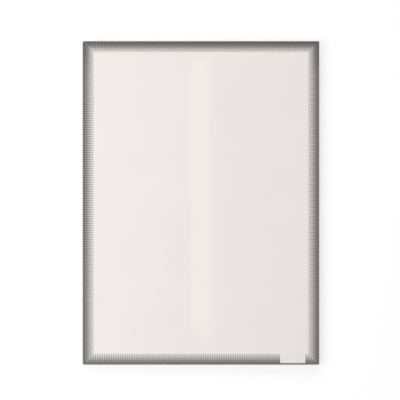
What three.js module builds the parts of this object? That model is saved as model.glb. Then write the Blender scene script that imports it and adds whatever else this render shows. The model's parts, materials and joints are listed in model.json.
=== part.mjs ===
// A flat A4 display frame that clings to a window pane by static charge.
// The clear cover carries a grey printed border film, is held shut by magnetic strips behind that border,
// and swings open on a folded film hinge along its left edge so that a sheet of paper can be changed.
// Millimetres, +Z up. The clinging face lies on the plane y = 0 and the cover faces -Y.

import * as THREE from "three";

// The sheet of paper and the clear view around it
const DOCUMENT_WIDTH = 210;
const DOCUMENT_HEIGHT = 297;
const VIEW_MARGIN = 2.25;

// The border and the outline
const BORDER_WIDTH = 10.75;
const CORNER_RADIUS = 1;
const CORNER_STEPS = 3;

// Thicknesses, from the pane outwards
const CLING_THICKNESS = 0.25;
const REAR_BORDER_THICKNESS = 0.125;
const REAR_SHEET_THICKNESS = 0.375;
const MAGNET_THICKNESS = 0.5;
const WINDOW_THICKNESS = 0.25;
const COVER_BORDER_THICKNESS = 0.125;

// The backing panel lifts the sheet of paper to just behind the window
const PAPER_SPACE = 0.125;
const BACKING_CLEARANCE = 0.375;

// The cling film stops short of the rear sheet's edge
const CLING_SETBACK = 1.5;

// The magnetic strips hide behind the border
const MAGNET_EDGE_SETBACK = 0.5;
const MAGNET_VIEW_SETBACK = 0.75;

// The hinge is one film folded in two, bonded between the left magnetic strips.
// Its fold stands a little outside the left edge, so the two halves lie clear of each other when open.
const HINGE_FILM_THICKNESS = 0.125;
const HINGE_FOLD_GAP = 0.25;
const HINGE_EDGE_GAP = 0.125;
const HINGE_LEAF_SETBACK = 1;
const HINGE_END_SETBACK = 2;
const HINGE_FOLD_STEPS = 4;

// The bare label sits in a notch of the bottom border
const LABEL_WIDTH = 25;
const LABEL_SIDE_INSET = 14;
const LABEL_EDGE_INSET = 1.25;

// Half sizes of the view and of the whole frame
const viewHalfWidth = DOCUMENT_WIDTH / 2 + VIEW_MARGIN;
const viewHalfHeight = DOCUMENT_HEIGHT / 2 + VIEW_MARGIN;
const halfWidth = viewHalfWidth + BORDER_WIDTH;
const halfHeight = viewHalfHeight + BORDER_WIDTH;

// The back face of each layer, counted down from the pane
const rearBorderBack = -CLING_THICKNESS;
const rearSheetBack = rearBorderBack - REAR_BORDER_THICKNESS;
const rearMagnetBack = rearSheetBack - REAR_SHEET_THICKNESS;
const closingPlane = rearMagnetBack - MAGNET_THICKNESS;
const windowBack = closingPlane - MAGNET_THICKNESS;
const coverBorderBack = windowBack - WINDOW_THICKNESS;

// How far the folded hinge film reaches to each side of the closing plane
const hingeReach = HINGE_FOLD_GAP / 2 + HINGE_FILM_THICKNESS;

const clingFilm = new THREE.MeshStandardMaterial({ color: 0xf0edea, roughness: 0.35, metalness: 0 });
const milkySheet = new THREE.MeshStandardMaterial({ color: 0xeeeae7, roughness: 0.35, metalness: 0 });
const backingPanel = new THREE.MeshStandardMaterial({ color: 0xece7e4, roughness: 0.5, metalness: 0 });
const clearSheet = new THREE.MeshStandardMaterial({ color: 0xece7e4, roughness: 0.2, metalness: 0 });
const printedBorder = new THREE.MeshStandardMaterial({ color: 0x96928e, roughness: 0.4, metalness: 0 });
const magneticRubber = new THREE.MeshStandardMaterial({ color: 0x3b3835, roughness: 0.8, metalness: 0 });
const hingeFilm = new THREE.MeshStandardMaterial({ color: 0x7d7a76, roughness: 0.4, metalness: 0 });
const bareLabel = new THREE.MeshStandardMaterial({ color: 0xf4f0ee, roughness: 0.35, metalness: 0 });

// An outline's x and y become X and Z, and its depth runs towards the viewer, along -Y
const outlineToFrame = new THREE.Matrix4().makeBasis(
  new THREE.Vector3(1, 0, 0),
  new THREE.Vector3(0, 0, 1),
  new THREE.Vector3(0, -1, 0),
);

const frame = new THREE.Group();

function addPiece(name, geometry, material) {
  const piece = new THREE.Mesh(geometry, material);
  piece.name = name;
  frame.add(piece);
  return piece;
}

function addPlate(name, outline, back, thickness, material) {
  const options = { depth: thickness, bevelEnabled: false, curveSegments: CORNER_STEPS };
  const geometry = new THREE.ExtrudeGeometry(outline, options);
  geometry.applyMatrix4(outlineToFrame);
  addPiece(name, geometry, material).position.y = back;
}

// The four corners in turn, from the upper right, anticlockwise as seen from the front
const corners = [
  { right: 1, up: 1 },
  { right: -1, up: 1 },
  { right: -1, up: -1 },
  { right: 1, up: -1 },
];

// The side of the frame between each corner and the next one
const sides = ["top", "left", "bottom", "right"];

// Part of the quarter circle that rounds one corner of a panel, as shares of the quarter
function addCornerArc(outline, index, panelHalfWidth, panelHalfHeight, from, to) {
  const { right, up } = corners[index];
  const centreX = right * (panelHalfWidth - CORNER_RADIUS);
  const centreZ = up * (panelHalfHeight - CORNER_RADIUS);
  const quarter = Math.PI / 2;
  outline.absarc(centreX, centreZ, CORNER_RADIUS, (index + from) * quarter, (index + to) * quarter, false);
}

function panelOutline(panelHalfWidth, panelHalfHeight) {
  const outline = new THREE.Shape();
  for (const index of corners.keys()) {
    addCornerArc(outline, index, panelHalfWidth, panelHalfHeight, 0, 1);
  }
  return outline;
}

function rectangleOutline(left, right, bottom, top) {
  const outline = new THREE.Shape();
  outline.moveTo(left, bottom);
  outline.lineTo(right, bottom);
  outline.lineTo(right, top);
  outline.lineTo(left, top);
  return outline;
}

// One mitred side of the border. The notch is a list of points along its inner edge.
function borderOutline(index, notch) {
  const next = (index + 1) % corners.length;
  const outline = new THREE.Shape();
  addCornerArc(outline, index, halfWidth, halfHeight, 0.5, 1);
  addCornerArc(outline, next, halfWidth, halfHeight, 0, 0.5);
  outline.lineTo(corners[next].right * viewHalfWidth, corners[next].up * viewHalfHeight);
  for (const [x, z] of notch) {
    outline.lineTo(x, z);
  }
  outline.lineTo(corners[index].right * viewHalfWidth, corners[index].up * viewHalfHeight);
  return outline;
}

// The bare label's place in the bottom border, open towards the view
const labelRight = halfWidth - LABEL_SIDE_INSET;
const labelLeft = labelRight - LABEL_WIDTH;
const labelTop = -viewHalfHeight;
const labelBottom = -halfHeight + LABEL_EDGE_INSET;
const labelNotch = [
  [labelRight, labelTop],
  [labelRight, labelBottom],
  [labelLeft, labelBottom],
  [labelLeft, labelTop],
];

// The magnetic strips run from just inside the outline to just outside the view.
// The two left ones are thinner, because the folded hinge film lies between them.
const magnetOuterX = halfWidth - MAGNET_EDGE_SETBACK;
const magnetOuterZ = halfHeight - MAGNET_EDGE_SETBACK;
const magnetInnerX = viewHalfWidth + MAGNET_VIEW_SETBACK;
const magnetInnerZ = viewHalfHeight + MAGNET_VIEW_SETBACK;

const magnets = {
  top: {
    outline: rectangleOutline(-magnetInnerX, magnetInnerX, magnetInnerZ, magnetOuterZ),
    thickness: MAGNET_THICKNESS,
  },
  left: {
    outline: rectangleOutline(-magnetOuterX, -magnetInnerX, -magnetOuterZ, magnetOuterZ),
    thickness: MAGNET_THICKNESS - hingeReach,
  },
  bottom: {
    outline: rectangleOutline(-magnetInnerX, magnetInnerX, -magnetOuterZ, -magnetInnerZ),
    thickness: MAGNET_THICKNESS,
  },
  right: {
    outline: rectangleOutline(magnetInnerX, magnetOuterX, -magnetOuterZ, magnetOuterZ),
    thickness: MAGNET_THICKNESS,
  },
};

// The U-shaped section of the hinge film, round the hinge line just outside the frame's left edge
function hingeOutline() {
  const hingeX = -halfWidth - HINGE_EDGE_GAP;
  const leafEnd = -magnetInnerX - HINGE_LEAF_SETBACK;
  const innerReach = HINGE_FOLD_GAP / 2;
  const outline = new THREE.Shape();
  outline.absarc(hingeX, closingPlane, hingeReach, Math.PI / 2, 1.5 * Math.PI, false);
  outline.lineTo(leafEnd, closingPlane - hingeReach);
  outline.lineTo(leafEnd, closingPlane - innerReach);
  outline.absarc(hingeX, closingPlane, innerReach, 1.5 * Math.PI, Math.PI / 2, true);
  outline.lineTo(leafEnd, closingPlane + innerReach);
  outline.lineTo(leafEnd, closingPlane + hingeReach);
  return outline;
}

function addHinge() {
  const length = 2 * (halfHeight - HINGE_END_SETBACK);
  const options = { depth: length, bevelEnabled: false, curveSegments: HINGE_FOLD_STEPS };
  const geometry = new THREE.ExtrudeGeometry(hingeOutline(), options);
  addPiece("hinge_film", geometry, hingeFilm).position.z = -length / 2;
}

// The rear half, which stays on the pane
const clingOutline = panelOutline(halfWidth - CLING_SETBACK, halfHeight - CLING_SETBACK);
addPlate("cling_film", clingOutline, 0, CLING_THICKNESS, clingFilm);
const sheetOutline = panelOutline(halfWidth, halfHeight);
addPlate("rear_sheet", sheetOutline, rearSheetBack, REAR_SHEET_THICKNESS, milkySheet);
const backingOutline = panelOutline(magnetInnerX - BACKING_CLEARANCE, magnetInnerZ - BACKING_CLEARANCE);
const backingThickness = 2 * MAGNET_THICKNESS - PAPER_SPACE;
addPlate("backing_panel", backingOutline, rearMagnetBack, backingThickness, backingPanel);
for (const [index, side] of sides.entries()) {
  const borderShape = borderOutline(index, []);
  addPlate(`rear_border_${side}`, borderShape, rearBorderBack, REAR_BORDER_THICKNESS, printedBorder);
  const { outline, thickness } = magnets[side];
  addPlate(`rear_magnet_${side}`, outline, rearMagnetBack, thickness, magneticRubber);
}
addHinge();

// The cover, which swings about the hinge line
addPlate("cover_window", sheetOutline, windowBack, WINDOW_THICKNESS, clearSheet);
for (const [index, side] of sides.entries()) {
  const { outline, thickness } = magnets[side];
  addPlate(`cover_magnet_${side}`, outline, windowBack + thickness, thickness, magneticRubber);
  const borderShape = borderOutline(index, side === "bottom" ? labelNotch : []);
  addPlate(`cover_border_${side}`, borderShape, coverBorderBack, COVER_BORDER_THICKNESS, printedBorder);
}
const labelOutline = rectangleOutline(labelLeft, labelRight, labelBottom, labelTop);
addPlate("label_plate", labelOutline, coverBorderBack, COVER_BORDER_THICKNESS, bareLabel);

export default frame;
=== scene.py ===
# %% [markdown]
# # A document holder that clings to a window pane
#
# The real object is a stack of thin films. A static film holds it to the glass, an off-white panel backs
# the paper, and a clear cover with a grey dotted border swings open on a folded film hinge. The frame
# that is loaded here already has every piece at its size and place, so this lesson only adds what a plain
# solid lacks: soft cut edges, a folded hinge, and a finish for each film.

# %% Load the frame
import json
import math
import bmesh
import bpy
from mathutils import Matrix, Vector


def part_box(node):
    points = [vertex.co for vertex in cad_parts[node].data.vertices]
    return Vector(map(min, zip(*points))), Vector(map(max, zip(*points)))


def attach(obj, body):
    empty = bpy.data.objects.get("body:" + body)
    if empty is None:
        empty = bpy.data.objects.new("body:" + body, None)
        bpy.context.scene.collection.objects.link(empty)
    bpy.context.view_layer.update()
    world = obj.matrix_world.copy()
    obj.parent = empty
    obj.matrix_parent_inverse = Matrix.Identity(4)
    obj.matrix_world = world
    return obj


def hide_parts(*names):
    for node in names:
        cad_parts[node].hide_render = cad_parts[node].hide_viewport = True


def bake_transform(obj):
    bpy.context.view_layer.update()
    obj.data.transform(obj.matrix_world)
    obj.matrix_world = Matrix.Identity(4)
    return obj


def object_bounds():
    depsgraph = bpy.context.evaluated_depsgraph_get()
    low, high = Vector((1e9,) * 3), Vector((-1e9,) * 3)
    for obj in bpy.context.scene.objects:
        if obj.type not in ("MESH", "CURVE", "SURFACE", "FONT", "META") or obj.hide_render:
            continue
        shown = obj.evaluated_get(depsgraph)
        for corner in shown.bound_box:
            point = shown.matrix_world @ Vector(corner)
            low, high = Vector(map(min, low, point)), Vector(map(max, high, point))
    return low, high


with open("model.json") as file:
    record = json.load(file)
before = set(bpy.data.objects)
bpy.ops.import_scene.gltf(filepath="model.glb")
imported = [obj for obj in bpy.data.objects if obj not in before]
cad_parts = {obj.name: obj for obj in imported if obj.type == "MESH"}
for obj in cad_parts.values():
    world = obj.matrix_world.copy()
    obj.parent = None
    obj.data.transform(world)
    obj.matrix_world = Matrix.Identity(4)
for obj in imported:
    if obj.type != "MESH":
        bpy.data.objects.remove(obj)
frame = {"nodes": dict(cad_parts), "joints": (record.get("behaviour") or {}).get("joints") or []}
cad_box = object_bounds()
nodes = frame["nodes"]
scene = bpy.context.scene
scene.view_settings.view_transform = "Standard"
print("nodes:", len(nodes), "box:", [tuple(round(v, 5) for v in corner) for corner in cad_box])

# %% [markdown]
# ## Selecting by place
#
# By hand, edges are picked with the mouse. In a script they are picked by a rule on where their two ends
# lie, which keeps working when a size changes. Everything is deselected before a piece is added, because
# an operator acts on all that is selected, and the loaded nodes arrive selected.

# %% Helpers for selecting and for edit mode
MILLIMETRE = 0.001
SAME_PLACE = 0.001 * MILLIMETRE


def deselect_all():
    bpy.ops.object.select_all(action="DESELECT")


def same(first, second):
    return abs(first - second) < SAME_PLACE


def pick_edges(piece, rule):
    """In edit mode, selects the edges whose two ends pass the rule, and gives their number."""
    bpy.ops.mesh.select_mode(type="EDGE")
    bpy.ops.mesh.select_all(action="DESELECT")
    mesh = bmesh.from_edit_mesh(piece.data)
    for edge in mesh.edges:
        edge.select_set(rule(edge.verts[0].co, edge.verts[1].co))
    mesh.select_flush_mode()
    bmesh.update_edit_mesh(piece.data)
    return sum(edge.select for edge in mesh.edges)


def bevel_edges(piece, rule, width, steps):
    """In edit mode, rounds the edges that a rule picks, and gives their number."""
    count = pick_edges(piece, rule)
    bpy.ops.mesh.bevel(offset=width, segments=steps, affect="EDGES")
    return count


print("edges are picked by rules, to within", SAME_PLACE, "m")

# %% [markdown]
# ## The sheets
#
# The cover film, the backing panel, the rear sheet and the static film are die-cut: their corners are
# slightly round and the cutter leaves a soft edge. A plane with a Solidify modifier would give a sharp
# edge, so each one starts as a box of the node's size, its four corners are bevelled to the die's radius,
# and then the outline of both faces is bevelled a little. A hair of air is left all round, because two
# surfaces in exactly the same place flicker in a render.

# %% Helpers for a new piece
AIR = 0.02 * MILLIMETRE
FLAT_FACE_WEIGHT = 100


def middle(node):
    low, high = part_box(node)
    return (low + high) / 2


def box_of_node(name, node):
    """A box that fills a node, less a hair of air, with its place in its mesh."""
    low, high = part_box(node)
    margin = Vector((AIR, AIR, AIR))
    deselect_all()
    bpy.ops.mesh.primitive_cube_add(size=1, location=middle(node), scale=high - low - 2 * margin)
    piece = bpy.context.object
    piece.name = name
    bpy.ops.object.transform_apply(location=True, rotation=True, scale=True)
    return piece


def smooth_bevels(piece):
    """Smooth shading in which the large flat faces stay flat and only the bevels turn."""
    bpy.ops.object.shade_smooth()
    piece.modifiers.new("flat faces", "WEIGHTED_NORMAL").weight = FLAT_FACE_WEIGHT
    bpy.ops.object.modifier_apply(modifier="flat faces")


def tie_piece(piece, body, node):
    """Ties a piece to its body and hides the node that it stands for."""
    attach(piece, body)
    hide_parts(node)


print("air left round each piece:", AIR, "m")

# %% Cut the sheets
DIE_CORNER = 1.0 * MILLIMETRE
DIE_CORNER_STEPS = 6
SOFT_EDGE = 0.08 * MILLIMETRE
SOFT_EDGE_STEPS = 2


def cut_sheet(name, node, body):
    sheet = box_of_node(name, node)
    bpy.ops.object.mode_set(mode="EDIT")
    bevel_edges(sheet, lambda a, b: not same(a.y, b.y), DIE_CORNER, DIE_CORNER_STEPS)
    outline = bevel_edges(sheet, lambda a, b: same(a.y, b.y), SOFT_EDGE, SOFT_EDGE_STEPS)
    bpy.ops.object.mode_set(mode="OBJECT")
    smooth_bevels(sheet)
    tie_piece(sheet, body, node)
    print(name, "outline edges:", outline, "faces:", len(sheet.data.polygons))
    return sheet


cover_film = cut_sheet("cover_film", "cover_window", "cover")
paper_rest = cut_sheet("paper_rest", "backing_panel", "rear")
carrier_sheet = cut_sheet("carrier_sheet", "rear_sheet", "rear")
static_film = cut_sheet("static_film", "cling_film", "rear")

# %% [markdown]
# ## The magnetic strips
#
# Magnetic rubber is extruded in long strips and chopped to length, so its long edges are round and its
# ends are nearly square. A strip starts as a box too. The edges along its length get the larger bevel,
# and the edges of its two ends get a smaller one. Only the rear half's top, left and right strips are
# modelled: its bottom one is a copy of the top one, and the cover's four are copies of the rear half's.

# %% Cut the strips
EXTRUDED_EDGE = 0.09 * MILLIMETRE
EXTRUDED_EDGE_STEPS = 3
CHOPPED_EDGE = 0.04 * MILLIMETRE
CHOPPED_EDGE_STEPS = 1
LENGTHWISE = {"top": "x", "left": "z", "right": "z"}


def cut_strip(name, node, along):
    """A strip that fills a node, with its length along the named axis."""

    def at_an_end(a, b):
        return same(getattr(a, along), getattr(b, along))

    strip = box_of_node(name, node)
    bpy.ops.object.mode_set(mode="EDIT")
    bevel_edges(strip, lambda a, b: not at_an_end(a, b), EXTRUDED_EDGE, EXTRUDED_EDGE_STEPS)
    bevel_edges(strip, at_an_end, CHOPPED_EDGE, CHOPPED_EDGE_STEPS)
    bpy.ops.object.mode_set(mode="OBJECT")
    smooth_bevels(strip)
    return strip


rear_strips = {}
for side, along in LENGTHWISE.items():
    rear_strips[side] = cut_strip(f"rear_strip_{side}", f"rear_magnet_{side}", along)
print("strips modelled:", len(rear_strips), "faces in each:", len(rear_strips["top"].data.polygons))

# %% Copy the strips to their places
SIDES = ("top", "left", "bottom", "right")


def copy_strip(strip, node, name, other_node):
    """A copy of the strip of one node, with a mesh of its own, moved to another node."""
    deselect_all()
    strip.select_set(True)
    bpy.context.view_layer.objects.active = strip
    bpy.ops.object.duplicate()
    copy = bpy.context.object
    copy.name = name
    copy.location = middle(other_node) - middle(node)
    bpy.ops.object.transform_apply(location=True, rotation=True, scale=True)
    return copy


top_strip = rear_strips["top"]
rear_strips["bottom"] = copy_strip(top_strip, "rear_magnet_top", "rear_strip_bottom", "rear_magnet_bottom")
strips = []
for side in SIDES:
    rear_node = f"rear_magnet_{side}"
    cover_node = f"cover_magnet_{side}"
    cover_strip = copy_strip(rear_strips[side], rear_node, f"cover_strip_{side}", cover_node)
    tie_piece(rear_strips[side], "rear", rear_node)
    tie_piece(cover_strip, "cover", cover_node)
    strips += [rear_strips[side], cover_strip]
print("strips:", [strip.name for strip in strips])

# %% [markdown] ## The hinge fold  The hinge is one film folded in two: one leaf is bonded to the rear
# strip and the other to the cover's. It could be bent with a modifier, but a fold is easily drawn: a plane
# is the rear leaf, its outer edge is spun half a turn about the hinge line, and the last edge is extruded
# back as the front leaf.

# %% Fold the hinge
HINGE_FILM = 0.125 * MILLIMETRE
FOLD_STEPS = 10
UPRIGHT = (math.pi / 2, 0, 0)

hinge_low, hinge_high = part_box("hinge_film")
hinge_joint = Vector(frame["joints"][0]["pos_m"])
fold_radius = hinge_high.y - hinge_joint.y - HINGE_FILM / 2
leaf_length = hinge_high.x - hinge_joint.x
hinge_height = hinge_high.z - hinge_low.z
leaf_middle = (hinge_joint.x + leaf_length / 2, hinge_joint.y + fold_radius, 0)

deselect_all()
bpy.ops.mesh.primitive_plane_add(size=1, location=leaf_middle, rotation=UPRIGHT)
hinge_fold = bpy.context.object
hinge_fold.name = "hinge_fold"
hinge_fold.scale = (leaf_length, hinge_height, 1)
bpy.ops.object.transform_apply(location=True, rotation=True, scale=True)
bpy.ops.object.mode_set(mode="EDIT")
pick_edges(hinge_fold, lambda a, b: same(a.x, hinge_joint.x) and same(b.x, hinge_joint.x))
bpy.ops.mesh.spin(steps=FOLD_STEPS, angle=math.pi, center=hinge_joint, axis=(0, 0, -1))
bpy.ops.mesh.extrude_region_move(TRANSFORM_OT_translate={"value": (leaf_length, 0, 0)})
bpy.ops.mesh.select_all(action="SELECT")
bpy.ops.mesh.normals_make_consistent(inside=False)
bpy.ops.object.mode_set(mode="OBJECT")
print("faces of the folded sheet:", len(hinge_fold.data.polygons))

# %% Give the fold its thickness
thickness = hinge_fold.modifiers.new("film", "SOLIDIFY")
thickness.thickness = HINGE_FILM
thickness.offset = 0
bpy.ops.object.modifier_apply(modifier="film")
smooth_bevels(hinge_fold)

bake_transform(hinge_fold)
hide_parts("hinge_film")
print("hinge faces:", len(hinge_fold.data.polygons), "size:", [round(v, 6) for v in hinge_fold.dimensions])

# %% [markdown]
# ## Shader maths as Python
#
# A printed dot is a short sum: how far is this point from the middle of its cell? Built by hand, that sum
# is a long row of Math nodes. The small class below wraps one output socket, so that the sum can be
# written as Python, and each operator adds its own node. Everything else goes through one method that adds
# any node.

# %% A wire with operators
def set_stops(ramp, stops):
    """Gives a colour ramp its stops, each a place from 0 to 1 and a grey value."""
    while len(ramp.elements) < len(stops):
        ramp.elements.new(1)
    for element, (place, value) in zip(ramp.elements, stops):
        element.position = place
        element.color = (value, value, value, 1)


class Wire:
    """An output socket. Operators on it add Math nodes, and node() adds any other node."""

    def __init__(self, tree, socket):
        self.tree = tree
        self.socket = socket

    def node(self, kind, settings, inputs, output=0):
        """Adds a node: its settings are set first, then the values or links of its sockets."""
        made = self.tree.nodes.new(kind)
        for name, value in settings.items():
            if name == "stops":
                set_stops(made.color_ramp, value)
            else:
                setattr(made, name, value)
        for name, value in inputs.items():
            if isinstance(value, Wire):
                self.tree.links.new(value.socket, made.inputs[name])
            else:
                made.inputs[name].default_value = value
        return Wire(self.tree, made.outputs[output])

    def math(self, operation, *values):
        return self.node("ShaderNodeMath", {"operation": operation}, dict(enumerate(values)))

    def clamped(self):
        return self.node("ShaderNodeClamp", {}, {"Value": self})

    def ramp(self, stops):
        """A value read off a ramp whose stops are pairs of place and value."""
        return self.node("ShaderNodeValToRGB", {"stops": stops}, {"Fac": self})

    def axis(self, name):
        """One axis of a vector."""
        return self.node("ShaderNodeSeparateXYZ", {}, {"Vector": self}, output=name)

    def into(self, shader, name):
        self.tree.links.new(self.socket, shader.inputs[name])

    def __add__(self, other):
        return self.math("ADD", self, other)

    def __sub__(self, other):
        return self.math("SUBTRACT", self, other)

    def __rsub__(self, other):
        return self.math("SUBTRACT", other, self)

    def __mul__(self, other):
        return self.math("MULTIPLY", self, other)

    def __truediv__(self, other):
        return self.math("DIVIDE", self, other)

    def __abs__(self):
        return self.math("ABSOLUTE", self)

    __radd__ = __add__
    __rmul__ = __mul__


print("methods of a wire:", sum(callable(value) for value in vars(Wire).values()))

# %% [markdown]
# ## Helpers that every finish uses
#
# A new material comes with a Principled shader. The helpers below give its Object coordinates, which are
# in metres and stay with the piece when it moves, a noise whose grain is given in metres, a mix of two
# colours or of two shaders, and a bump. A colour is written as the eye sees it, from 0 to 255, and turned
# into the linear values that Blender calculates with.

# %% Write colours as they are seen
FULL_CHANNEL = 255
SRGB_KNEE = 0.04045
SRGB_SLOPE = 12.92
SRGB_OFFSET = 0.055
SRGB_POWER = 2.4
WHITE = (1, 1, 1, 1)
BLACK = (0, 0, 0, 1)


def linear(channel):
    share = channel / FULL_CHANNEL
    if share <= SRGB_KNEE:
        return share / SRGB_SLOPE
    return ((share + SRGB_OFFSET) / (1 + SRGB_OFFSET)) ** SRGB_POWER


def seen_colour(red, green, blue):
    """Linear values of a colour that is given as it is seen, 0 to 255."""
    return (linear(red), linear(green), linear(blue), 1)


print("a grey seen as 128 is linear", round(linear(128), 3))

# %% Make materials
MIX_FACTOR = 0
MIX_FIRST = 6
MIX_SECOND = 7
MIX_COLOUR = 2


def new_finish(name):
    """A material, its Principled shader and a wire with its Object coordinates."""
    finish = bpy.data.materials.new(name)
    finish.use_nodes = True
    tree = finish.node_tree
    place = tree.nodes.new("ShaderNodeTexCoord")
    return finish, tree.nodes["Principled BSDF"], Wire(tree, place.outputs["Object"])


def grain(place, size, detail=2):
    """Noise from 0 to 1 whose features are about size metres."""
    moved = place.node("ShaderNodeMapping", {}, {"Vector": place, "Scale": [1 / size] * 3})
    return place.node("ShaderNodeTexNoise", {}, {"Vector": moved, "Scale": 1, "Detail": detail})


def mix_colours(factor, first, second):
    inputs = {MIX_FACTOR: factor, MIX_FIRST: first, MIX_SECOND: second}
    return factor.node("ShaderNodeMix", {"data_type": "RGBA"}, inputs, output=MIX_COLOUR)


def mix_shaders(factor, first, second):
    """The first shader where the factor is 0, and the second where it is 1."""
    return factor.node("ShaderNodeMixShader", {}, {0: factor, 1: first, 2: second})


def bump(height, strength, distance):
    inputs = {"Height": height, "Strength": strength, "Distance": distance}
    return height.node("ShaderNodeBump", {}, inputs)


def dress(finish, *pieces):
    for piece in pieces:
        piece.data.materials.clear()
        piece.data.materials.append(finish)
    print(finish.name, "on", len(pieces), "pieces,", len(finish.node_tree.nodes), "nodes")


helpers = (new_finish, grain, mix_colours, mix_shaders, bump, dress)
print("helpers for finishes:", [helper.__name__ for helper in helpers])

# %% [markdown]
# ## The printed border
#
# The grey border is a screen print: five rows of dots inside a thin solid rim, over a grey tint. Both fade
# row by row towards the view. A picture of it would blur when seen closely, so it is calculated. Each
# point finds its distance from the nearest outer edge, which gives its row, and its distance from the
# other edge of the nearest corner, which gives its dot. The two change places on the diagonal of a corner,
# so the pattern is mitred there like the strips of film, and each side's dots mirror those of its
# neighbour. The pitch divides both half lengths alike, so the dots also meet evenly in the middle of each
# side. Squares in the sum would make round dots. Fourth powers make them nearly square, as the print's
# are.

# %% Find each point's row and dot
ROWS = 5
SOLID_RIM = 0.75 * MILLIMETRE
DOT_PITCH = 2.291 * MILLIMETRE
INNER_DOT = 0.26
DOT_GROWTH = 0.0625
DOT_STRETCH = 1.4
DOT_SOFTNESS = 0.06
EDGE_MIDDLE = 0.5
CELL_MIDDLE = 0.5
FOURTH_ROOT = 0.25

border_low, border_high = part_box("cover_border_right")
half_width = border_high.x
half_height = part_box("cover_border_top")[1].z
row_pitch = (border_high.x - border_low.x - SOLID_RIM) / ROWS

printed, shader, place = new_finish("dotted print with painted shade")
from_side = half_width - abs(place.axis("X"))
from_end = half_height - abs(place.axis("Z"))
depth = from_side.math("MINIMUM", from_side, from_end)
rows_in = (depth - SOLID_RIM) / row_pitch
row = rows_in.math("FLOOR", rows_in)
dots_along = from_side.math("MAXIMUM", from_side, from_end) / DOT_PITCH
beside = dots_along.math("FRACT", dots_along) - CELL_MIDDLE
inwards = (rows_in - row - CELL_MIDDLE) / DOT_STRETCH
beside_square = beside * beside
inwards_square = inwards * inwards
fourth_powers = beside_square * beside_square + inwards_square * inwards_square
reach = fourth_powers.math("POWER", fourth_powers, FOURTH_ROOT)
dot_radius = INNER_DOT + DOT_GROWTH * (ROWS - 1 - row)
dot = ((dot_radius - reach) / DOT_SOFTNESS + EDGE_MIDDLE).clamped()
print("row pitch in mm:", round(row_pitch / MILLIMETRE, 3))

# %% [markdown]
# The tint has one strength for each row, read off a ramp. A slow noise thins the ink a little here and
# there, as a screen print's ink does. Along the top, a painted shade darkens the rows towards black, the
# outer ones most, and that painted shade fades out down both sides. The die cuts through the print, so
# the thin cut edge shows the bare film.

# %% Print the border and paint a shade along its top
DOT_SHARE = 0.4
TINT = ((0.1, 1.0), (0.3, 0.90), (0.5, 0.70), (0.7, 0.49), (0.9, 0.36))
INK = seen_colour(101, 97, 93)
INK_THIN = seen_colour(109, 105, 101)
INK_CLOUD = 6 * MILLIMETRE
FILM_WHITE = seen_colour(238, 233, 229)
FACING = 0.5
# Painted shade along the top: its strength for each row, and where it fades out down the sides.
TOP_PAINTED_SHADE = ((0.1, 0.36), (0.3, 0.38), (0.5, 0.29), (0.7, 0.14), (0.9, 0.0))
PAINTED_SHADE_END = 35 * MILLIMETRE
PAINTED_SHADE_FADE = 32 * MILLIMETRE

row_share = (row + CELL_MIDDLE) / ROWS
tint = row_share.ramp(TINT)
ink = tint + DOT_SHARE * (dot - tint)
across_film = place.node("ShaderNodeTexCoord", {}, {}, output="Normal").axis("Y")
printed_face = across_film.math("GREATER_THAN", abs(across_film), FACING)
ink_tone = mix_colours(grain(place, INK_CLOUD), INK, INK_THIN)
print_tone = mix_colours(ink * printed_face, FILM_WHITE, ink_tone)
# Painted shade: the top of the border and the upper ends of its sides are darkened towards black.
below_top = half_height - place.axis("Z")
painted_shade_fade = ((PAINTED_SHADE_END - below_top) / PAINTED_SHADE_FADE).clamped()
painted_shade = row_share.ramp(TOP_PAINTED_SHADE) * painted_shade_fade * printed_face
mix_colours(painted_shade, print_tone, BLACK).into(shader, "Base Color")
print("rows with a tint:", len(TINT), "nodes so far:", len(printed.node_tree.nodes))

# %% Give the print its gloss and relief
PRINT_ROUGHNESS = 0.30
INK_ROUGHNESS = 0.12
PEEL_ROUGHNESS = 0.08
PEEL_SIZE = 1.5 * MILLIMETRE
PEEL_RELIEF = 0.5
DOT_RELIEF = 0.25
PRINT_BUMP = 0.1
PRINT_HEIGHT = 0.02 * MILLIMETRE

peel = grain(place, PEEL_SIZE)
(PRINT_ROUGHNESS + INK_ROUGHNESS * ink + PEEL_ROUGHNESS * peel).into(shader, "Roughness")
bump(peel * PEEL_RELIEF + dot * DOT_RELIEF, PRINT_BUMP, PRINT_HEIGHT).into(shader, "Normal")
dress(printed, *[nodes[f"{half}_border_{side}"] for half in ("cover", "rear") for side in SIDES])

# %% [markdown]
# ## The clear films
#
# The window is a clear, glossy film that mirrors the lamps, and the static film is a softer one. Full
# transmission gives the right reflections on both faces of a film. Lamps would reach what lies behind it
# only by rare paths, so the rays that carry light to it, shadow rays and diffuse rays, are let straight
# through by a Transparent shader. Slow waves in the film bend its reflections a little, and handling
# leaves patches that are less glossy.

# %% A finish for clear films
FILM_IOR = 1.46
HANDLED_SIZE = 35 * MILLIMETRE
WAVE_BUMP = 0.1
WAVE_HEIGHT = 0.1 * MILLIMETRE


def light_paths(place, *names):
    """1 for the kinds of ray that are named."""
    rays = place.node("ShaderNodeLightPath", {}, {}).socket.node.outputs
    return sum(Wire(place.tree, rays[name]) for name in names).clamped()


def clear_finish(name, tones, roughness, wave_size):
    """A clear film. Its tones and its roughness are pairs, for clean film and for handled film."""
    finish, shader, place = new_finish(name)
    shader.inputs["Transmission Weight"].default_value = 1
    shader.inputs["IOR"].default_value = FILM_IOR
    clean, touched = roughness
    handled = grain(place, HANDLED_SIZE, detail=3)
    mix_colours(handled, *tones).into(shader, "Base Color")
    (clean + (touched - clean) * handled).into(shader, "Roughness")
    bump(grain(place, wave_size, detail=0), WAVE_BUMP, WAVE_HEIGHT).into(shader, "Normal")
    light_rays = light_paths(place, "Is Shadow Ray", "Is Diffuse Ray")
    let_through = place.node("ShaderNodeBsdfTransparent", {}, {})
    film = Wire(place.tree, shader.outputs["BSDF"])
    surface = mix_shaders(light_rays, film, let_through)
    surface.into(place.tree.nodes["Material Output"], "Surface")
    return finish


print("refractive index of the films:", FILM_IOR)

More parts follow.
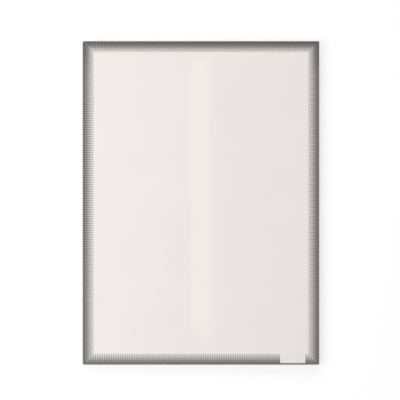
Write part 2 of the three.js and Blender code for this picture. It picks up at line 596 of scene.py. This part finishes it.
# %% Dress the cover film and the static film
WINDOW_TONES = (seen_colour(254, 252, 250), seen_colour(251, 249, 247))
WINDOW_ROUGHNESS = (0.01, 0.04)
WINDOW_WAVE = 60 * MILLIMETRE
STATIC_TONES = (seen_colour(250, 249, 247), seen_colour(244, 243, 241))
STATIC_ROUGHNESS = (0.06, 0.14)
STATIC_WAVE = 9 * MILLIMETRE

dress(clear_finish("clear film", WINDOW_TONES, WINDOW_ROUGHNESS, WINDOW_WAVE), cover_film)
dress(clear_finish("soft static film", STATIC_TONES, STATIC_ROUGHNESS, STATIC_WAVE), static_film)

# %% [markdown]
# ## The off-white panel and sheet
#
# The backing panel is a thin foamed sheet with a satin skin, and it gives the view its warm off-white
# tone. The rear sheet is a plain film of nearly the same tone. Both get a slow, faint change of tone, as
# sheet stock has, and a fine tooth in the bump and the roughness.

# %% Dress the backing panel and the rear sheet
CLOUD_SIZE = 45 * MILLIMETRE
TOOTH_ROUGHNESS = 0.12
TOOTH_BUMP = 0.1
TOOTH_HEIGHT = 0.02 * MILLIMETRE
PANEL_TONES = (seen_colour(239, 234, 234), seen_colour(236, 231, 231))
PANEL_TOOTH = 0.6 * MILLIMETRE
PANEL_ROUGHNESS = 0.45
CARRIER_TONES = (seen_colour(241, 236, 232), seen_colour(237, 232, 229))
CARRIER_TOOTH = 0.4 * MILLIMETRE
CARRIER_ROUGHNESS = 0.30


def sheet_finish(name, tones, tooth_size, roughness):
    finish, shader, place = new_finish(name)
    cloud = grain(place, CLOUD_SIZE, detail=4)
    tooth = grain(place, tooth_size)
    mix_colours(cloud, *tones).into(shader, "Base Color")
    (roughness + TOOTH_ROUGHNESS * tooth).into(shader, "Roughness")
    bump(tooth, TOOTH_BUMP, TOOTH_HEIGHT).into(shader, "Normal")
    return finish


dress(sheet_finish("foamed panel", PANEL_TONES, PANEL_TOOTH, PANEL_ROUGHNESS), paper_rest)
dress(sheet_finish("milky sheet", CARRIER_TONES, CARRIER_TOOTH, CARRIER_ROUGHNESS), carrier_sheet)

# %% [markdown]
# ## Rubber, hinge film and label
#
# Magnetic rubber is ferrite powder in a binder: nearly black, matt, with a fine grain and patches of dust.
# The hinge film is a grey satin film with a fine tooth. The label's place is bare film in the tone of the
# panel, a little glossier than the print around it. The rim's ink runs a hair's breadth onto its foot.

# %% Dress the strips
RUBBER_TONES = (seen_colour(48, 46, 45), seen_colour(66, 63, 61))
RUBBER_ROUGHNESS = 0.62
POWDER_SIZE = 0.35 * MILLIMETRE
POWDER_BUMP = 0.35
POWDER_HEIGHT = 0.04 * MILLIMETRE
DUST_SIZE = 12 * MILLIMETRE
DUST_ROUGHNESS = 0.2

rubber, shader, place = new_finish("ferrite rubber")
powder = grain(place, POWDER_SIZE, detail=3)
dust = grain(place, DUST_SIZE, detail=4)
mix_colours(powder, *RUBBER_TONES).into(shader, "Base Color")
(RUBBER_ROUGHNESS + DUST_ROUGHNESS * dust).into(shader, "Roughness")
bump(powder, POWDER_BUMP, POWDER_HEIGHT).into(shader, "Normal")
dress(rubber, *strips)

# %% Dress the hinge
HINGE_TONES = (seen_colour(122, 119, 115), seen_colour(132, 129, 125))
HINGE_ROUGHNESS = 0.36
HINGE_TOOTH = 0.5 * MILLIMETRE
HINGE_TOOTH_ROUGHNESS = 0.14
HINGE_BUMP = 0.2
HINGE_HEIGHT = 0.02 * MILLIMETRE

hinge_finish, shader, place = new_finish("satin hinge film")
tooth = grain(place, HINGE_TOOTH)
mix_colours(tooth, *HINGE_TONES).into(shader, "Base Color")
(HINGE_ROUGHNESS + HINGE_TOOTH_ROUGHNESS * tooth).into(shader, "Roughness")
bump(tooth, HINGE_BUMP, HINGE_HEIGHT).into(shader, "Normal")
dress(hinge_finish, hinge_fold)

# %% Dress the label
LABEL_TONES = (seen_colour(236, 232, 228), seen_colour(234, 230, 227))
LABEL_CLOUD = 8 * MILLIMETRE
LABEL_OVERLAP = 0.33 * MILLIMETRE
LABEL_ROUGHNESS = 0.24
LABEL_TOOTH = 0.8 * MILLIMETRE
LABEL_TOOTH_ROUGHNESS = 0.08
LABEL_BUMP = 0.05
LABEL_HEIGHT = 0.01 * MILLIMETRE

label, shader, place = new_finish("bare white film")
cloud = grain(place, LABEL_CLOUD, detail=3)
tooth = grain(place, LABEL_TOOTH)
bare_tone = mix_colours(cloud, *LABEL_TONES)
above_foot = place.axis("Z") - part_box("label_plate")[0].z
inked_foot = above_foot.math("LESS_THAN", above_foot, LABEL_OVERLAP)
mix_colours(inked_foot, bare_tone, INK).into(shader, "Base Color")
(LABEL_ROUGHNESS + LABEL_TOOTH_ROUGHNESS * tooth).into(shader, "Roughness")
bump(tooth, LABEL_BUMP, LABEL_HEIGHT).into(shader, "Normal")
dress(label, nodes["label_plate"])

# %% [markdown]
# ## Light through thin films
#
# The cover's printed films are an eighth of a millimetre thick, and a real film of that gauge glows
# through. As solid plates they would draw a thin dark line on the panel all round the view, which the
# photograph doesn't show. So light passes through them on its way to the panel. The layers behind still
# cast the holder's shadow on the wall.

# %% Let light through the cover's printed films
printed_films = [nodes["label_plate"], *[nodes[f"cover_border_{side}"] for side in SIDES]]
for film in printed_films:
    film.visible_shadow = False
    film.visible_diffuse = False
print("films that let light through:", len(printed_films))

# %% [markdown]
# ## Wall and floor
#
# The holder is shown flat against a white backdrop, as on a pane in front of a white wall, and a pale
# floor lies below. Both are part diffuse, which keeps the soft shadow, and part white to the rays that
# show them in the picture, straight, mirrored or through a film. They are so wide that no edge of them
# comes into view. They block no light and bounce none back, so the holder is lit by the lamps and the
# world alone. Seen from behind, the wall would hide the holder, so its back side is transparent.

# %% A finish for the stage
WHITE_STRENGTH = 1.085
SEEN_RAYS = ("Is Camera Ray", "Is Glossy Ray", "Is Transmission Ray")
PAINT_TONES = (seen_colour(254, 254, 254), seen_colour(252, 252, 252))
PAINT_PATCH = 0.2
PAINT_ROUGHNESS = 0.9


def stage_finish(name, white_share):
    """Paint that is diffuse to most rays and, by its share, white to the rays that show it."""
    finish, shader, place = new_finish(name)
    paint = grain(place, PAINT_PATCH, detail=1)
    mix_colours(paint, *PAINT_TONES).into(shader, "Base Color")
    shader.inputs["Roughness"].default_value = PAINT_ROUGHNESS
    shader.inputs["Specular IOR Level"].default_value = 0
    white = place.node("ShaderNodeEmission", {}, {"Color": WHITE, "Strength": WHITE_STRENGTH})
    plain = Wire(place.tree, shader.outputs["BSDF"])
    share = light_paths(place, *SEEN_RAYS) * white_share
    lit = mix_shaders(share, plain, white)
    behind = place.node("ShaderNodeNewGeometry", {}, {}, output="Backfacing")
    open_back = place.node("ShaderNodeBsdfTransparent", {}, {})
    surface = mix_shaders(behind, lit, open_back)
    surface.into(place.tree.nodes["Material Output"], "Surface")
    return finish


print("rays that see white:", len(SEEN_RAYS))

# %% Build the stage
STAGE_SIZE = 30.0
WALL_GAP = 11 * MILLIMETRE
WALL_WHITE = 0.59
FLOOR_LEVEL = -0.30
FLOOR_WHITE = 0.8


def stage_plane(name, location, rotation, white_share):
    deselect_all()
    bpy.ops.mesh.primitive_plane_add(size=STAGE_SIZE, location=location, rotation=rotation)
    plane = bpy.context.object
    plane.name = name
    plane.visible_shadow = False
    plane.visible_diffuse = False
    dress(stage_finish(name, white_share), plane)
    return plane


wall = stage_plane("wall", (0, WALL_GAP, 0), UPRIGHT, WALL_WHITE)
floor = stage_plane("floor", (0, 0, FLOOR_LEVEL), (0, 0, 0), FLOOR_WHITE)
for plane in (wall, floor):
    print(plane.name, "faces", tuple(round(v, 3) for v in plane.matrix_world.to_3x3() @ Vector((0, 0, 1))))

# %% [markdown]
# ## Light
#
# A large soft lamp stands to the left, a little below the middle, so the left side is brighter and a
# shadow falls to the right. A larger one is far off and high up, and its shadow falls below the holder.
# One behind lights the back, and the world fills in. The pale upright band in the glossy cover is a lamp
# too, and it comes after the camera, because its place depends on the camera's.

# %% Set the lamps
KEY_PLACE = Vector((-0.72, -1.12, -0.10))
KEY_SIZE = 0.95
KEY_POWER = 10.0
HIGH_PLACE = Vector((-0.6, -3.0, 3.6))
HIGH_SIZE = 2.8
HIGH_POWER = 85.0
BACK_PLACE = Vector((0.9, 1.1, 0.8))
BACK_SIZE = 0.95
BACK_POWER = 20.0


def soft_lamp(name, location, size, power):
    """A square area lamp that points at the origin."""
    deselect_all()
    bpy.ops.object.light_add(type="AREA", location=location)
    lamp = bpy.context.object
    lamp.name = name
    lamp.data.size = size
    lamp.data.energy = power
    lamp.rotation_euler = (-location).to_track_quat("-Z", "Y").to_euler()
    return lamp


key = soft_lamp("key_lamp", KEY_PLACE, KEY_SIZE, KEY_POWER)
high = soft_lamp("high_lamp", HIGH_PLACE, HIGH_SIZE, HIGH_POWER)
back = soft_lamp("back_lamp", BACK_PLACE, BACK_SIZE, BACK_POWER)
print("lamps:", key.name, high.name, back.name)

# %% Fill in with the world
FILL = 0.336

world = bpy.data.worlds.new("studio")
scene.world = world
world.use_nodes = True
fill = world.node_tree.nodes["Background"]
fill.inputs["Color"].default_value = WHITE
fill.inputs["Strength"].default_value = FILL
fill_wire = Wire(world.node_tree, fill.outputs["Background"])
white = fill_wire.node("ShaderNodeBackground", {}, {"Color": WHITE, "Strength": 1})
seen = light_paths(fill_wire, *SEEN_RAYS)
room = mix_shaders(seen, fill_wire, white)
room.into(world.node_tree.nodes["World Output"], "Surface")
print("fill:", FILL, "nodes in the world:", len(world.node_tree.nodes))

# %% [markdown]
# ## Camera
#
# The photograph is taken straight on, from far enough away that nothing leans. A long lens from about a
# metre does the same. The frame is a little off the middle of the picture, so the camera is moved by that
# much, with no lens shift.

# %% Place the camera
LENS = 100.0
SENSOR = 36.0
PICTURE_WIDTH = 0.3994
CAMERA_X = -1.05 * MILLIMETRE
CAMERA_Z = 2.93 * MILLIMETRE

front = cad_box[0].y
camera_distance = PICTURE_WIDTH * LENS / SENSOR
camera_place = (CAMERA_X, front - camera_distance, CAMERA_Z)
deselect_all()
bpy.ops.object.camera_add(location=camera_place, rotation=UPRIGHT)
camera = bpy.context.object
camera.data.lens = LENS
camera.data.sensor_width = SENSOR
scene.camera = camera
print("camera distance:", round(camera_distance, 4))

# %% [markdown]
# ## The band lamp
#
# A mirror shows a lamp at the camera's distance halfway between the two, so the lamp is twice as long and
# twice as wide as the band in the film. It has round ends: a disc is cut through its middle and its halves
# are pulled apart. The camera itself doesn't see it.

# %% Shape the band lamp
BAND_WIDTH = 20 * MILLIMETRE
BAND_TOP = 145 * MILLIMETRE
BAND_BOTTOM = -134.5 * MILLIMETRE
BAND_TILT = math.radians(0.5)
BAND_BEHIND = 0.02
DISC_STEPS = 48

band_middle = BAND_TOP + BAND_BOTTOM - CAMERA_Z
band_straight = BAND_TOP - BAND_BOTTOM - BAND_WIDTH
band_place = (CAMERA_X, front - camera_distance - BAND_BEHIND, band_middle)
deselect_all()
bpy.ops.mesh.primitive_circle_add(
    vertices=DISC_STEPS,
    radius=BAND_WIDTH,
    fill_type="NGON",
    location=band_place,
    rotation=UPRIGHT,
)
band = bpy.context.object
band.name = "band_lamp"
bpy.ops.object.transform_apply(location=True, rotation=True, scale=True)
bpy.ops.object.mode_set(mode="EDIT")
bpy.ops.mesh.bisect(plane_co=(0, 0, band_middle), plane_no=(0, 0, 1))
for end, direction in (("top", 1), ("bottom", -1)):
    bpy.ops.mesh.select_all(action="DESELECT")
    mesh = bmesh.from_edit_mesh(band.data)
    for vert in mesh.verts:
        vert.select_set((vert.co.z - band_middle) * direction > SAME_PLACE)
    mesh.select_flush_mode()
    bmesh.update_edit_mesh(band.data)
    bpy.ops.transform.translate(value=(0, 0, direction * band_straight))
    print("band", end, "moved by", round(band_straight, 3))
bpy.ops.mesh.select_all(action="SELECT")
bpy.ops.transform.rotate(value=BAND_TILT, orient_axis="Y", center_override=band_place)
bpy.ops.object.mode_set(mode="OBJECT")

# %% Light the band lamp
BAND_GLOW = seen_colour(255, 254, 250)
BAND_STRENGTH = 1.52

band.visible_camera = False
band.visible_shadow = False
glow, shader, _ = new_finish("band glow")
shader.inputs["Base Color"].default_value = BLACK
shader.inputs["Emission Color"].default_value = BAND_GLOW
shader.inputs["Emission Strength"].default_value = BAND_STRENGTH
dress(glow, band)

# %% [markdown]
# ## The frame's box
#
# The pieces must stay inside the frame's box, which is measured when the frame is loaded.
